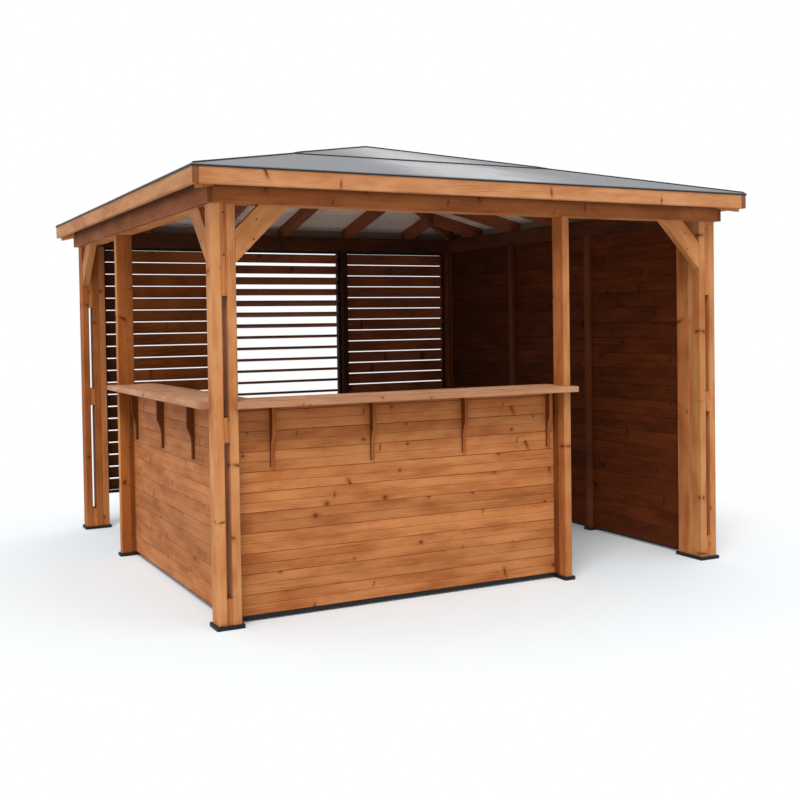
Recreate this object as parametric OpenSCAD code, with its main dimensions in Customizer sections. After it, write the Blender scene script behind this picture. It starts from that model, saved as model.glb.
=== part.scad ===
// Open timber pool house with a bar: square plan, split corner posts, two bar counters,
// a louvred back wall, a boarded right wall and a low hipped roof.
// Millimetres. Origin on the ground at the middle of the plan.
// +X runs to the right along the front, +Y to the back, +Z up.

/* [Plan] */
// Side of the square plan over the outer faces of the posts
plan = 3200; // [2900:10:3600]
// Underside of the ring beam above the ground
beam_bottom = 2080; // [1950:5:2300]

/* [Posts] */
// Thickness of the structural timber
timber_t = 45; // [36:1:60]
// Width of the structural timber
timber_w = 105; // [90:1:130]
// Through slot between the two timbers of a corner post
post_slot = 30; // [20:1:45]
// Length of the spacer block at the top of a corner post
top_spacer_h = 450; // [250:5:600]
// Length of the spacer block at half height
mid_spacer_h = 122; // [80:1:200]
// Underside of the spacer block at half height
mid_spacer_z = 915; // [700:5:1100]
// Length of the spacer block at the foot, above the foot plate
foot_spacer_h = 130; // [80:1:250]
// Thickness of the black foot plates
plate_t = 20; // [6:1:30]
// Margin of a foot plate around its post
plate_margin = 11; // [4:1:20]
// Chamfer along the edges of the planed timber
arris = 4; // [1:1:8]
// Setback of the spacer blocks from the outer faces of the corner posts
spacer_setback = 3; // [0:1:10]

/* [Knee braces] */
// Length of a brace along the post and along the beam
brace_leg = 290; // [220:5:360]
// Width of a brace measured along the post
brace_cut = 162; // [110:1:200]
// Setback of a brace from the outer face of the frame
brace_setback = 5; // [0:1:20]

/* [Bar] */
// Clear length of the front bar between its posts
front_bar_len = 1942; // [1500:1:2100]
// Clear length of the left bar between its posts
left_bar_len = 1902; // [1500:1:2100]
// Depth of the bar boarding behind the outer face of the posts
bar_recess = 85; // [50:1:90]
// Thickness of the bar boarding
bar_board_t = 20; // [16:1:28]
// Gap between the ground and the bar boarding
bar_gap = 32; // [15:1:60]
// Height that one board covers in the boarding of the bar and the wall
board_cover = 102.5; // [70:0.5:140]
// Half width and depth of the V joint between two boards
board_joint = 3; // [1:1:4]
// Half width and depth of the shallow groove along the middle of a board
board_groove = 1.2; // [0.5:0.1:2]
// Setback of the black base strip from the face of the boarding above it
strip_setback = 3; // [0:1:6]
// Gap between the ground and the base strips
strip_gap = 9; // [0:1:12]
// Side of the corner battens at the ends of the boarding
batten = 20; // [12:1:28]
// Underside of the counter boards
counter_z = 1080; // [950:5:1200]
// Thickness of the counter boards
counter_t = 32; // [22:1:45]
// Depth of the counter boards from edge to edge
counter_d = 320; // [260:5:420]
// Overhang of the counter boards outside the posts
counter_out = 62; // [30:1:90]
// Lap of a counter past the faces of its posts
counter_lap = 23; // [10:1:40]
// Thickness of a counter bracket
bracket_t = 20; // [16:1:32]
// Height of a counter bracket
bracket_h = 312; // [200:1:400]
// Depth of a counter bracket at its top
bracket_top = 40; // [30:1:110]
// Depth of a counter bracket at its foot
bracket_foot = 14; // [10:1:38]
// Radius of the hollow curve of a counter bracket
bracket_r = 200; // [120:5:500]
// Straight length of a counter bracket below its curve
bracket_leg = 70; // [30:1:120]
// Number of front counter brackets
front_bracket_count = 4; // [3:1:5]
// Distance of the first front bracket from the corner post
front_bracket_start = 200; // [60:5:240]
// Distance of the last front bracket from the bar post
front_bracket_end = 62; // [40:1:240]
// Number of left counter brackets
left_bracket_count = 3; // [2:1:4]
// Distance of the first left bracket from the corner post
left_bracket_start = 535; // [60:5:560]
// Distance of the last left bracket from the bar post
left_bracket_end = 143; // [40:1:240]

/* [Walls] */
// Thickness of the boarded wall panels
wall_board_t = 28; // [18:1:30]
// Gap between the ground and the boarded wall panels
wall_gap = 24; // [12:1:40]
// Underside of the louvre frames above the ground
louvre_z = 245; // [100:5:500]
// Width of the louvre frame members
louvre_rail = 18; // [12:1:30]
// Depth of the louvre frame members
louvre_frame_d = 40; // [30:1:60]
// Setback of the louvre frames from the outer face of the posts
louvre_setback = 5; // [0:1:10]
// Width of a louvre blade
blade_w = 86; // [60:1:88]
// Thickness of a louvre blade
blade_t = 16; // [8:1:20]
// Number of blades in a louvre panel
blade_count = 20; // [16:1:20]
// Tilt of the blades of the left louvre panel, outer edge down
left_tilt = 74; // [35:1:80]
// Tilt of the blades of the right louvre panel, outer edge down
right_tilt = 74; // [35:1:80]
// Tilt of the lower blades of the middle louvre panel
middle_tilt = 7; // [0:1:20]
// Extra tilt of the top blade of the middle louvre panel
middle_tilt_gain = 46; // [0:1:60]

/* [Roof] */
// Overhang of the fascia's outer face beyond the posts
overhang = 132; // [90:1:250]
// Upper edge of the fascia above the ground
fascia_top = 2242; // [2200:1:2500]
// Height of the fascia boards
fascia_h = 89; // [70:1:140]
// Thickness of the fascia boards
fascia_t = 28; // [18:1:36]
// Thickness of the header boards outside the posts
header_t = 28; // [18:1:36]
// Rise of the roof deck from the fascia to the peak
roof_rise = 429; // [300:1:700]
// Thickness of the roof deck
deck_t = 18; // [12:1:28]
// Width that one sheathing board covers in plan
deck_cover = 95; // [80:1:140]
// Thickness of the rubber roof covering
cover_t = 4; // [3:1:10]
// Extra thickness where the upper sheet laps the lower one
lap_t = 4; // [2:1:8]
// Distance of the lap from the roof's middle
lap_at = 880; // [500:10:1200]
// Height of the metal edge trim
trim_h = 8; // [6:1:30]
// Thickness of the metal edge trim
trim_t = 4; // [2:1:8]
// Depth of the rafters square to the roof
rafter_h = 90; // [70:1:110]
// Spacing of the rafters
rafter_step = 560; // [450:10:600]
// Side of the block where the rafters meet at the peak
hub_side = 120; // [110:1:180]
// Drop of that block below the rafters
hub_drop = 40; // [10:1:80]

/* [Hidden] */
half = plan / 2;
post_x = 2 * timber_t + post_slot;
beam_in = half - timber_w;
post_in = half - post_x;
header_out = half + header_t;
eave = half + overhang;
fascia_in = eave - fascia_t;
cover_out = eave + trim_t;
slope = roof_rise / eave;
slant = sqrt(1 + slope * slope);
hip_gap = timber_t / sqrt(2);
hip_slope = slope / sqrt(2);
peak_reach = 2 * eave;
counter_top = counter_z + counter_t;
front_bar_x = -post_in + front_bar_len;
left_bar_y = -beam_in + left_bar_len;
bar_low = max(bar_gap, plate_t);
wall_low = max(wall_gap, plate_t);
bar_out = half - bar_recess;
bar_in = bar_out - bar_board_t;
counter_edge = half + counter_out;
counter_back = counter_edge - counter_d;
wall_out = half - timber_t;
wall_in = wall_out - post_slot;
wall_bay = (2 * beam_in - timber_w - 2 * timber_t) / 3;
louvre_bay = (2 * post_in - 3 * timber_t) / 3;
louvre_y1 = half - louvre_setback;
louvre_y0 = louvre_y1 - louvre_frame_d;
blade_y = (louvre_y0 + louvre_y1) / 2;
blade_pitch = (beam_bottom - louvre_z - 2 * louvre_rail) / blade_count;
front_bracket_step = (front_bar_len - front_bracket_start - front_bracket_end) / (front_bracket_count - 1);
left_bracket_step = (left_bar_len - left_bracket_start - left_bracket_end) / (left_bracket_count - 1);
front_brackets = [for (i = [0 : front_bracket_count - 1]) -post_in + front_bracket_start + i * front_bracket_step];
left_brackets = [for (i = [0 : left_bracket_count - 1]) -beam_in + left_bracket_start + i * left_bracket_step];
back_mid = [for (i = [1 : 2]) -post_in + i * (louvre_bay + timber_t)];
right_mid = [for (i = [1 : 2]) -beam_in + timber_w + i * wall_bay + (i - 1) * timber_t];
wall_bays = [[-beam_in, right_mid[0]], [right_mid[0] + timber_t, right_mid[1]], [right_mid[1] + timber_t, beam_in]];
timber_colour = "#b5733f";
dark_timber_colour = "#4a2a1a";
deck_colour = "#9a8f80";
steel_colour = "#2b2b2d";
rubber_colour = "#8a8f94";

// Heights of the roof's layers at a distance from the middle, square to an eave
function deck_top_z(d) = fascia_top + (eave - d) * slope;
function deck_low_z(d) = deck_top_z(d) - deck_t * slant;
function rafter_low_z(d) = deck_low_z(d) - rafter_h * slant;
// Top of the ring beam, where the rafters are seated
beam_top = rafter_low_z(beam_in);
// Top edge of a hip rafter at a distance along the diagonal
function hip_top_z(d) = deck_low_z(hip_gap / 2) - d * hip_slope;

// Box between two corners
module block(low, high) {
    translate(low)
        cube(high - low);
}

// Upright timber between two corners, its four long edges chamfered
module upright(low, high) {
    size = high - low;
    translate(low)
        linear_extrude(size[2])
            polygon(chamfered(size[0], size[1], arris, arris));
}

// Outline of a timber's end with its lower corners and its upper corners chamfered by given amounts
function chamfered(w, h, low, top) = [[low, 0], [w - low, 0], [w, low], [w, h - top], [w - top, h], [top, h],
    [0, h - top], [0, low]];

// Outline of matched boards laid on each other between two heights, with a V joint between boards and a
// shallow groove along each board on both faces; the joints lie at the same heights all round the building
module boarding_outline(thickness, low, high) {
    count = floor((high - bar_gap - 2 * board_joint) / board_cover);
    difference() {
        translate([0, low])
            square([thickness, high - low]);
        for (i = [1 : count], x = [0, thickness]) {
            translate([x, bar_gap + i * board_cover])
                circle(board_joint, $fn = 4);
            translate([x, bar_gap + (i - 0.5) * board_cover])
                circle(board_groove, $fn = 4);
        }
    }
}

// Extrudes an outline drawn in Y and Z along X between two places
module along_x(x0, x1) {
    translate([x0, 0, 0])
        rotate([90, 0, 90])
            linear_extrude(x1 - x0)
                children();
}

// Puts a piece of the front slope on one of the four slopes: 0 front, 1 right, 2 back, 3 left
module on_slope(quarter) {
    rotate([0, 0, 90 * quarter])
        children();
}

// Triangle in plan under one slope, drawn for the front, kept clear of the hip lines
module slope_sector(clear) {
    linear_extrude(2 * fascia_top)
        polygon([[0, -clear], [peak_reach, -peak_reach - clear], [-peak_reach, -peak_reach - clear]]);
}

// Corner post of two upright timbers with a slot between them; side is -1 or 1 in X and Y
module corner_post(side_x, side_y) {
    y0 = side_y < 0 ? -half : beam_in;
    x0 = side_x < 0 ? -half : post_in;
    color(timber_colour)
        for (x = [x0, x0 + timber_t + post_slot])
            upright([x, y0, plate_t], [x + timber_t, y0 + timber_w, beam_bottom]);
}

module post_spacers() {
    spans = [[plate_t, plate_t + foot_spacer_h], [mid_spacer_z, mid_spacer_z + mid_spacer_h],
        [beam_bottom - top_spacer_h, beam_bottom]];
    color(timber_colour)
        for (x = [-half + timber_t, post_in + timber_t], y = [-half + spacer_setback, beam_in], span = spans)
            block([x, y, span[0]], [x + post_slot, y + timber_w - spacer_setback, span[1]]);
}

// Plate under a post of a given footprint
module foot_plate(low, high) {
    margin = [plate_margin, plate_margin];
    block(concat(low - margin, 0), concat(high + margin, plate_t));
}

module foot_plates() {
    color(steel_colour) {
        foot_plate([-half, -half], [-post_in, -beam_in]);
        foot_plate([post_in, -half], [half, -beam_in + timber_w]);
        foot_plate([-half, beam_in], [-post_in + timber_t, half]);
        foot_plate([post_in, beam_in], [half, half]);
        foot_plate([front_bar_x, -half], [front_bar_x + timber_t, -beam_in]);
        foot_plate([-half, left_bar_y], [-beam_in, left_bar_y + timber_t]);
        for (x = back_mid)
            foot_plate([x, beam_in], [x + timber_t, half]);
        for (y = right_mid)
            foot_plate([beam_in, y], [half, y + timber_t]);
    }
}

module front_bar_post() {
    color(timber_colour)
        upright([front_bar_x, -half, plate_t], [front_bar_x + timber_t, -beam_in, beam_bottom]);
}

module left_bar_post() {
    color(timber_colour)
        upright([-half, left_bar_y, plate_t], [-beam_in, left_bar_y + timber_t, beam_bottom]);
}

// Posts between the panels of the louvred wall and of the boarded wall
module wall_posts() {
    color(dark_timber_colour) {
        for (x = back_mid)
            upright([x, beam_in, plate_t], [x + timber_t, half, beam_bottom]);
        for (y = right_mid)
            upright([beam_in, y, plate_t], [half, y + timber_t, beam_bottom]);
    }
}

// Timbers that close the boarded wall and the louvred wall beside the two open corners
module door_jambs() {
    color(timber_colour) {
        upright([post_in, -beam_in, plate_t], [post_in + timber_t, -beam_in + timber_w, beam_bottom]);
        upright([-post_in, beam_in, plate_t], [-post_in + timber_t, half, beam_bottom]);
    }
}

// Header board on the outside of the posts along one side, notched for the hip rafters
module header(quarter, reach) {
    color(timber_colour)
        difference() {
            on_slope(quarter)
                along_x(-reach, reach)
                    translate([-header_out, beam_bottom])
                        polygon(chamfered(header_t, deck_low_z(header_out) - beam_bottom, arris, 0));
            hip_rafter_bodies(timber_t);
        }
}

// Ring beam along one side, on the posts
module beam(quarter, reach) {
    color(timber_colour)
        on_slope(quarter)
            block([-reach, -half, beam_bottom], [reach, -beam_in, beam_top]);
}

// Knee brace in the plane of the front, from the post at x = 0 towards +X
module brace() {
    translate([0, -half + brace_setback, beam_bottom])
        rotate([90, 0, 0])
            translate([0, 0, -timber_t])
                linear_extrude(timber_t)
                    polygon([[brace_leg - brace_cut, 0], [brace_leg, 0], [0, -brace_leg],
                        [0, -brace_leg + brace_cut]]);
}

module knee_braces() {
    color(timber_colour) {
        translate([-post_in, 0, 0])
            brace();
        translate([post_in, 0, 0])
            mirror([1, 0, 0])
                brace();
        on_slope(3) {
            translate([-beam_in, 0, 0])
                brace();
            translate([beam_in, 0, 0])
                mirror([1, 0, 0])
                    brace();
        }
    }
}

module front_bar_panel() {
    color(timber_colour)
        along_x(-post_in, front_bar_x)
            translate([-bar_out, 0])
                boarding_outline(bar_board_t, bar_low, counter_z);
}

module left_bar_panel() {
    color(timber_colour)
        on_slope(3)
            along_x(-left_bar_y, beam_in)
                translate([-bar_out, 0])
                    boarding_outline(bar_board_t, bar_low, counter_z);
}

// Black strips under the front boarding and the boarded wall, held between the foot plates
module base_strips() {
    color(steel_colour) {
        block([-post_in + plate_margin, -bar_out + strip_setback, strip_gap],
            [front_bar_x - plate_margin, -bar_in, bar_low]);
        for (i = [0 : 2])
            block([wall_in + strip_setback, wall_bays[i][0] + plate_margin + (i == 0 ? timber_w : 0), strip_gap],
                [wall_in + wall_board_t, wall_bays[i][1] - plate_margin, wall_low]);
    }
}

module bar_battens() {
    low = [0, 0, bar_low];
    high = [batten, batten, counter_z];
    color(timber_colour) {
        for (x = [-post_in, front_bar_x - batten])
            translate([x, -bar_out - batten, 0])
                block(low, high);
        for (y = [-beam_in, left_bar_y - batten])
            translate([-bar_out - batten, y, 0])
                block(low, high);
    }
}

// Counter over the front bar, notched round the corner post and the bar post
module front_counter() {
    x0 = -post_in - counter_lap;
    x1 = front_bar_x + timber_t + counter_lap / 2;
    color(timber_colour)
        difference() {
            along_x(x0, x1)
                translate([-counter_edge, counter_z])
                    polygon(chamfered(counter_d, counter_t, arris, arris));
            block([x0 - 1, -half, counter_z - 1], [-post_in, 0, counter_top + 1]);
            block([front_bar_x, -half, counter_z - 1], [front_bar_x + timber_t, -beam_in, counter_top + 1]);
        }
}

// Counter over the left bar, notched round its posts and butted to the front counter
module left_counter() {
    y0 = -beam_in - 2 * counter_lap;
    y1 = left_bar_y + timber_t + counter_lap / 2;
    color(timber_colour)
        difference() {
            on_slope(3)
                along_x(-y1, -y0)
                    translate([-counter_edge, counter_z])
                        polygon(chamfered(counter_d, counter_t, arris, arris));
            block([-half, y0 - 1, counter_z - 1], [0, -beam_in, counter_top + 1]);
            block([-post_in, y0 - 1, counter_z - 1], [0, -counter_back, counter_top + 1]);
            block([-half, left_bar_y, counter_z - 1], [-beam_in, left_bar_y + timber_t, counter_top + 1]);
        }
}

// Bracket under the overhang of a counter, drawn for the front: a narrow leg that swells in a
// hollow curve to its full depth below the counter
module bracket() {
    along_x(-bracket_t / 2, bracket_t / 2)
        translate([-bar_out, counter_z - bracket_h])
            difference() {
                translate([-bracket_top, 0])
                    square([bracket_top, bracket_h]);
                translate([-bracket_top - bracket_foot, -1])
                    square([bracket_top, bracket_leg + 1]);
                translate([-bracket_foot - bracket_r, bracket_leg])
                    circle(bracket_r, $fn = 96);
            }
}

module counter_brackets() {
    color(timber_colour) {
        for (x = front_brackets)
            translate([x, 0, 0])
                bracket();
        on_slope(3)
            for (y = left_brackets)
                translate([-y, 0, 0])
                    bracket();
    }
}

// Left and right ends of the louvre panels, between the back posts
function louvre_span(i) = [i == 0 ? -post_in + timber_t : back_mid[i - 1] + timber_t, i == 2 ? post_in : back_mid[i]];

module louvre_frames() {
    color(dark_timber_colour)
        for (i = [0 : 2])
            difference() {
                block([louvre_span(i)[0], louvre_y0, louvre_z], [louvre_span(i)[1], louvre_y1, beam_bottom]);
                block([louvre_span(i)[0] + louvre_rail, louvre_y0 - 1, louvre_z + louvre_rail],
                    [louvre_span(i)[1] - louvre_rail, louvre_y1 + 1, beam_bottom - louvre_rail]);
            }
}

// Blades of one louvre panel, turned about their middle lines with the outer edge down
module louvre_blades(panel, tilt, gain) {
    span = louvre_span(panel);
    upper = blade_count * 0.4;
    color(dark_timber_colour)
        for (i = [0 : blade_count - 1])
            translate([span[0] + louvre_rail, blade_y, louvre_z + louvre_rail + (i + 0.5) * blade_pitch])
                rotate([-tilt - gain * max(0, i - blade_count + upper) / upper, 0, 0])
                    along_x(0, span[1] - span[0] - 2 * louvre_rail)
                        blade_outline();
}

// Section of a blade: a flat board with round edges
module blade_outline() {
    reach = (blade_w - blade_t) / 2;
    square([2 * reach, blade_t], center = true);
    for (side = [-1, 1])
        translate([side * reach, 0])
            circle(d = blade_t, $fn = 32);
}

module right_wall_panels() {
    color(dark_timber_colour)
        on_slope(1)
            for (bay = wall_bays)
                along_x(bay[0], bay[1])
                    translate([-wall_in - wall_board_t, 0])
                        boarding_outline(wall_board_t, wall_low, beam_bottom);
}

// The four hip rafters at full length, their tops raised by an amount, before they are cut to the beams
module hip_rafter_bodies(raise) {
    reach = fascia_in * sqrt(2) + timber_t;
    low = rafter_h * slant;
    intersection() {
        for (quarter = [0 : 3])
            rotate([0, 0, 45 + 90 * quarter])
                along_x(-timber_t / 2, timber_t / 2)
                    polygon([[0, hip_top_z(0) + raise], [0, hip_top_z(0) - low],
                        [reach, hip_top_z(reach) - low], [reach, hip_top_z(reach) + raise]]);
        block([-fascia_in, -fascia_in, 0], [fascia_in, fascia_in, 2 * fascia_top]);
    }
}

module hip_rafters() {
    color(dark_timber_colour)
        difference() {
            hip_rafter_bodies(0);
            block([-hub_side / 2, -hub_side / 2, 0], [hub_side / 2, hub_side / 2, 2 * fascia_top]);
            for (quarter = [0 : 3])
                beam(quarter, half);
        }
}

// Rafters of one slope: the middle one reaches the hub, the others stop at the hips
module rafters(quarter) {
    count = floor((beam_in - timber_t) / rafter_step);
    color(dark_timber_colour)
        on_slope(quarter)
            intersection() {
                for (i = [-count : count])
                    along_x(i * rafter_step - timber_t / 2, i * rafter_step + timber_t / 2)
                        polygon([[-half, deck_low_z(half)], [-hub_side / 2, deck_low_z(hub_side / 2)],
                            [-hub_side / 2, rafter_low_z(hub_side / 2)], [-beam_in, beam_top],
                            [-half, beam_top]]);
                slope_sector(hip_gap);
            }
}

module ridge_hub() {
    side = hub_side / 2;
    color(dark_timber_colour)
        block([-side, -side, rafter_low_z(side) - hub_drop], [side, side, deck_low_z(side)]);
}

// Sheathing boards of one slope, laid level, with a V joint between boards on the underside
module roof_deck(quarter) {
    count = round(fascia_in / deck_cover);
    color(deck_colour)
        on_slope(quarter)
            intersection() {
                along_x(-fascia_in, fascia_in)
                    difference() {
                        polygon([[0, deck_top_z(0)], [-fascia_in, deck_top_z(fascia_in)],
                            [-fascia_in, deck_low_z(fascia_in)], [0, deck_low_z(0)]]);
                        for (i = [1 : count - 1])
                            translate([-i * fascia_in / count, deck_low_z(i * fascia_in / count)])
                                circle(board_joint, $fn = 4);
                    }
                slope_sector(0);
            }
}

// Everything under the four roof planes raised by a thickness square to them
module under_roof(rise) {
    lift = rise * slant;
    intersection_for (quarter = [0 : 1])
        on_slope(quarter)
            along_x(-cover_out, cover_out)
                polygon([[-cover_out, fascia_top - fascia_h], [cover_out, fascia_top - fascia_h],
                    [cover_out, deck_top_z(cover_out) + lift], [0, deck_top_z(0) + lift],
                    [-cover_out, deck_top_z(cover_out) + lift]]);
}

// Rubber covering of two courses, the upper one lapped over the lower one
module roof_covering() {
    color(rubber_colour)
        difference() {
            union() {
                under_roof(cover_t);
                intersection() {
                    under_roof(cover_t + lap_t);
                    block([-lap_at, -lap_at, 0], [lap_at, lap_at, 2 * fascia_top]);
                }
            }
            under_roof(0);
        }
}

module roof_edge_trim() {
    top = deck_top_z(cover_out);
    color(steel_colour)
        difference() {
            block([-cover_out, -cover_out, top - trim_h], [cover_out, cover_out, top]);
            block([-eave, -eave, top - trim_h - 1], [eave, eave, top + 1]);
        }
}

module fascia(quarter, reach) {
    color(timber_colour)
        on_slope(quarter)
            along_x(-reach, reach)
                translate([-eave, fascia_top - fascia_h])
                    polygon(chamfered(fascia_t, fascia_h, arris, 0));
}

corner_post(-1, -1);  // front_left_post
corner_post(1, -1);  // front_right_post
corner_post(-1, 1);  // back_left_post
corner_post(1, 1);  // back_right_post
post_spacers();
foot_plates();
front_bar_post();
left_bar_post();
wall_posts();
door_jambs();
header(0, half);  // front_header
header(2, half);  // back_header
header(3, header_out);  // left_header
header(1, header_out);  // right_header
beam(0, half);  // front_beam
beam(2, half);  // back_beam
beam(3, beam_in);  // left_beam
beam(1, beam_in);  // right_beam
knee_braces();
front_bar_panel();
left_bar_panel();
bar_battens();
base_strips();
front_counter();
left_counter();
counter_brackets();
louvre_frames();
louvre_blades(0, left_tilt, 0);  // left_louvre_blades
louvre_blades(1, middle_tilt, middle_tilt_gain);  // middle_louvre_blades
louvre_blades(2, right_tilt, 0);  // right_louvre_blades
right_wall_panels();
hip_rafters();
rafters(0);  // front_rafters
rafters(2);  // back_rafters
rafters(3);  // left_rafters
rafters(1);  // right_rafters
ridge_hub();
roof_deck(0);  // front_roof_deck
roof_deck(2);  // back_roof_deck
roof_deck(3);  // left_roof_deck
roof_deck(1);  // right_roof_deck
roof_covering();
roof_edge_trim();
fascia(0, fascia_in);  // front_fascia
fascia(2, fascia_in);  // back_fascia
fascia(3, eave);  // left_fascia
fascia(1, eave);  // right_fascia
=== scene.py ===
"""Finish of an open timber pool house with a corner bar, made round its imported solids.

Metres, in the part's own frame: origin on the ground at the middle of the plan,
+X to the right along the front, +Y to the louvred back, +Z up.
"""
import math

import bpy
import numpy as np
from mathutils import Matrix, Vector


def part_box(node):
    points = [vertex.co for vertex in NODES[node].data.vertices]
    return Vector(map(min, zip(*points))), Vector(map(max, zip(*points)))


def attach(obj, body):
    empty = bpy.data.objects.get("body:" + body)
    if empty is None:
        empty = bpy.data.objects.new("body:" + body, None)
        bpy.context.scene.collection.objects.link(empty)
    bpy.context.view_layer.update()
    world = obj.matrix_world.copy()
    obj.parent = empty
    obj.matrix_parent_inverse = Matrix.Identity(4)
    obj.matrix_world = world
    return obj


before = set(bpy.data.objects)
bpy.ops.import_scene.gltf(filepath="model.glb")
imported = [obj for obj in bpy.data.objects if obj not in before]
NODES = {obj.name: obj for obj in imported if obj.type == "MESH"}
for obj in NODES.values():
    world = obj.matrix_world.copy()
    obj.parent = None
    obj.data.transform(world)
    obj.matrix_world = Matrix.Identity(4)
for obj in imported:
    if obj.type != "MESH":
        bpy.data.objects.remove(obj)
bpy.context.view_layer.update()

# Boarding: height that one board covers, and the lowest board's lower edge, from which the joints are spaced
BOARD_COVER = 0.1025
BOARD_BASE = 0.032
# Half widths of the line at a board joint and of the groove half-way up a board, and the groove's strength
JOINT_HALF = 0.0035
GROOVE_HALF = 0.003
GROOVE_STRENGTH = 0.6
# Share of the half width inside which such a line is full, in the boarding and in the roof's sheathing
BOARD_LINE_FULL = 0.3
DECK_LINE_FULL = 0.4
# Counter planks: width, and the half width of the line between two where it starts and where it is full
COUNTER_PLANK = 0.107
PLANK_JOINT_HALF = 0.0022
PLANK_JOINT_FULL = 0.0008
# Half of the plan over the posts, and the underside of the ring beam
HALF = 1.6
BEAM_BOTTOM = 2.08
# Corner posts: size along X and along Y, and the width that tells the two timbers of one apart
POST_WIDE = 0.12
POST_DEEP = 0.105
POST_TIMBER = 0.0605
# Underside of the bar counters
COUNTER_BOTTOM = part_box("front_counter")[0].z
# Louvre panels: blades in each, thickness of the rails below and above, and share of the height across a blade
BLADES = 20
LOUVRE_RAIL = 0.018
BLADE_RISE = 0.6
# Roof: rise over run, half width over the fascias, their upper edge, sheet thickness, lap and its place
ROOF_SLOPE = 429 / 1732
EAVE = 1.732
FASCIA_TOP = 2.242
COVER_T = 0.004
LAP_T = 0.004
LAP_AT = 0.88
# Rafters' spacing, half width of the sheathing, and the width of its boards, about 95 mm
RAFTER_SPACING = 0.56
DECK_REACH = 1.704
DECK_BOARD = DECK_REACH / round(DECK_REACH / 0.095)
# Height of the grain's relief on sawn timber, and how far a full mask of painted shade goes to the knot colour
GRAIN_RELIEF = 0.0006
SHADE_DEPTH = 0.8
# Knots: length and width of the cell that may hold one, and the smallest and the largest radius
KNOT_CELL_LONG = 0.34
KNOT_CELL_WIDE = 0.10
KNOT_RADIUS = (0.0032, 0.0084)
# Shares of growth rings, streaks, fibres and clouds in the tone of a board
RING_SHARE = 0.38
STREAK_SHARE = 0.65
FIBRE_SHARE = 0.35
CLOUD_SHARE = 2.1


def stain(red, green, blue):
    """Linear colour of a stain matched as 0 to 255 screen values."""
    screen = np.array([red, green, blue]) / 255.0
    linear = np.where(screen <= 0.04045, screen / 12.92, ((screen + 0.055) / 1.055) ** 2.4)
    return (*linear.tolist(), 1.0)


class Net:
    """Adds shader nodes to a tree. Each method adds nodes and gives back the output socket."""

    def __init__(self, tree):
        self.tree = tree

    def node(self, kind, **settings):
        made = self.tree.nodes.new(kind)
        for name, value in settings.items():
            setattr(made, name, value)
        return made

    def put(self, socket, value):
        if isinstance(value, bpy.types.NodeSocket):
            self.tree.links.new(value, socket)
        else:
            socket.default_value = value

    def math(self, operation, *terms):
        made = self.node("ShaderNodeMath", operation=operation)
        for socket, term in zip(made.inputs, terms):
            self.put(socket, term)
        return made.outputs[0]

    def add(self, *terms):
        total = terms[0]
        for term in terms[1:]:
            total = self.math("ADD", total, term)
        return total

    def times(self, *terms):
        total = terms[0]
        for term in terms[1:]:
            total = self.math("MULTIPLY", total, term)
        return total

    def minus(self, a, b):
        return self.math("SUBTRACT", a, b)

    def size(self, value):
        return self.math("ABSOLUTE", value)

    def ramp(self, value, low, high, out_low=0.0, out_high=1.0):
        """Smooth step from out_low to out_high as the value goes from low to high."""
        made = self.node("ShaderNodeMapRange", interpolation_type="SMOOTHSTEP")
        for socket, term in zip(made.inputs, (value, low, high, out_low, out_high)):
            self.put(socket, term)
        return made.outputs[0]

    def vector(self, x, y, z=0.0):
        made = self.node("ShaderNodeCombineXYZ")
        for socket, term in zip(made.inputs, (x, y, z)):
            self.put(socket, term)
        return made.outputs[0]

    def split(self, vector):
        made = self.node("ShaderNodeSeparateXYZ")
        self.put(made.inputs[0], vector)
        return made.outputs[:]

    def noise(self, vector, detail=2.0, roughness=0.5, scale=1.0):
        made = self.node("ShaderNodeTexNoise", noise_dimensions="3D")
        self.put(made.inputs["Vector"], vector)
        self.put(made.inputs["Scale"], scale)
        self.put(made.inputs["Detail"], detail)
        self.put(made.inputs["Roughness"], roughness)
        return made.outputs[0]

    def chance(self, value):
        """Random number from 0 to 1 that is the same wherever the value is."""
        made = self.node("ShaderNodeTexWhiteNoise", noise_dimensions="1D")
        self.put(made.inputs["W"], value)
        return made.outputs["Value"]

    def mix(self, share, a, b):
        made = self.node("ShaderNodeMix", data_type="RGBA", blend_type="MIX", clamp_result=False)
        self.put(made.inputs[0], share)
        self.put(made.inputs[6], a)
        self.put(made.inputs[7], b)
        return made.outputs[2]

    def scaled(self, colour, amount):
        """Colour times a number."""
        made = self.node("ShaderNodeVectorMath", operation="SCALE")
        self.put(made.inputs[0], colour)
        self.put(made.inputs["Scale"], amount)
        return made.outputs[0]

    def bump(self, height, distance):
        made = self.node("ShaderNodeBump")
        self.put(made.inputs["Height"], height)
        self.put(made.inputs["Distance"], distance)
        self.put(made.inputs["Strength"], 1.0)
        return made.outputs[0]


def new_group(name, inputs, outputs):
    """Empty shader group with named sockets; returns it with its net, inputs and output node."""
    group = bpy.data.node_groups.new(name, "ShaderNodeTree")
    for label, kind in inputs:
        group.interface.new_socket(label, in_out="INPUT", socket_type="NodeSocket" + kind)
    for label, kind in outputs:
        group.interface.new_socket(label, in_out="OUTPUT", socket_type="NodeSocket" + kind)
    net = Net(group)
    entry = net.node("NodeGroupInput")
    leave = net.node("NodeGroupOutput")
    return group, net, entry.outputs, leave.inputs


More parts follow.
